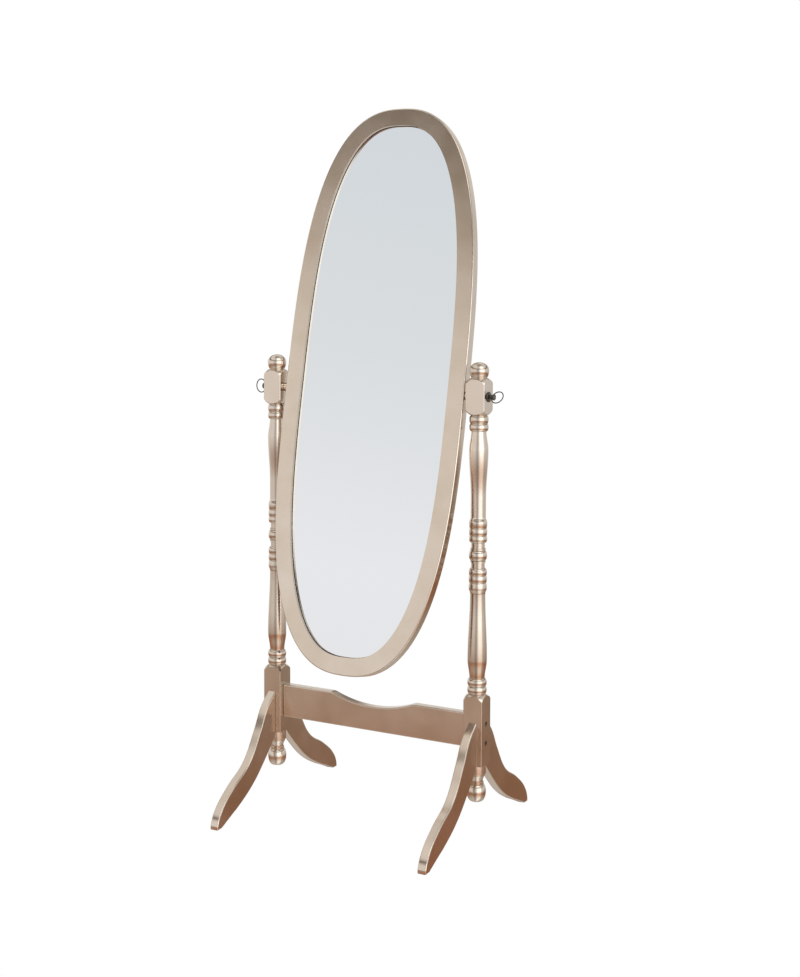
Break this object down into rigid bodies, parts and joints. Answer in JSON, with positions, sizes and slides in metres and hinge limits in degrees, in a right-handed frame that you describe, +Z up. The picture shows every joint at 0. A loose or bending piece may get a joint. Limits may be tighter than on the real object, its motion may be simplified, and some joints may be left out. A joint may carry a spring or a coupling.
{
  "type": "cheval floor mirror",
  "caption": "Oval full-length mirror that tilts between turned posts, held by ring knobs, on shaped splayed legs joined by a stretcher.",
  "frame": {"origin": "on the floor, in the middle of the four feet", "axes": "+Z up, the mirror's face towards -Y, +X to the right of someone who faces the mirror"},
  "size_m": [0.594, 0.483, 1.5068],
  "materials": {
    "champagne_lacquer": "metallic champagne lacquer, satin",
    "silvered_glass": "polished",
    "hardboard": "raw brown hardboard",
    "zinc_steel": "zinc plated",
    "brass_insert": "turned",
    "beech_dowel": "raw, fluted",
    "black_steel": "gloss black"
  },
  "bodies": {
    "stand": {"left_post": "champagne_lacquer", "right_post": "champagne_lacquer", "left_foot_finial": "champagne_lacquer", "right_foot_finial": "champagne_lacquer", "left_front_leg": "champagne_lacquer", "left_rear_leg": "champagne_lacquer", "right_front_leg": "champagne_lacquer", "right_rear_leg": "champagne_lacquer", "left_front_leg_lower_dowel": "beech_dowel", "left_front_leg_upper_dowel": "beech_dowel", "left_rear_leg_lower_dowel": "beech_dowel", "left_rear_leg_upper_dowel": "beech_dowel", "right_front_leg_lower_dowel": "beech_dowel", "right_front_leg_upper_dowel": "beech_dowel", "right_rear_leg_lower_dowel": "beech_dowel", "right_rear_leg_upper_dowel": "beech_dowel", "stretcher": "champagne_lacquer", "left_lower_bolt": "black_steel", "left_upper_bolt": "black_steel", "right_lower_bolt": "black_steel", "right_upper_bolt": "black_steel", "left_lower_barrel_nut": "zinc_steel", "left_upper_barrel_nut": "zinc_steel", "right_lower_barrel_nut": "zinc_steel", "right_upper_barrel_nut": "zinc_steel", "left_spacer": "champagne_lacquer", "right_spacer": "champagne_lacquer", "left_knob_washer": "black_steel", "right_knob_washer": "black_steel"},
    "mirror": {"mirror_frame": "champagne_lacquer", "mirror_glass": "silvered_glass", "backing_board": "hardboard", "backing_clip_1": "zinc_steel", "backing_clip_2": "zinc_steel", "backing_clip_3": "zinc_steel", "backing_clip_4": "zinc_steel", "backing_clip_5": "zinc_steel", "backing_clip_6": "zinc_steel", "clip_screw_1": "zinc_steel", "clip_screw_2": "zinc_steel", "clip_screw_3": "zinc_steel", "clip_screw_4": "zinc_steel", "clip_screw_5": "zinc_steel", "clip_screw_6": "zinc_steel", "left_frame_insert": "brass_insert", "right_frame_insert": "brass_insert"},
    "left_knob": {"left_knob_stud": "black_steel", "left_knob_ring": "black_steel"},
    "right_knob": {"right_knob_stud": "black_steel", "right_knob_ring": "black_steel"}
  },
  "joints": [
    {"name": "mirror_tilt", "type": "hinge", "parent": "stand", "child": "mirror", "pos_m": [0, 0, 0.9081], "axis": [1, 0, 0], "continuous": true},
    {"name": "left_knob_turn", "type": "hinge", "parent": "mirror", "child": "left_knob", "pos_m": [-0.2647, 0, 0.9081], "axis": [1, 0, 0], "continuous": true},
    {"name": "right_knob_turn", "type": "hinge", "parent": "mirror", "child": "right_knob", "pos_m": [0.2647, 0, 0.9081], "axis": [1, 0, 0], "continuous": true}
  ]
}
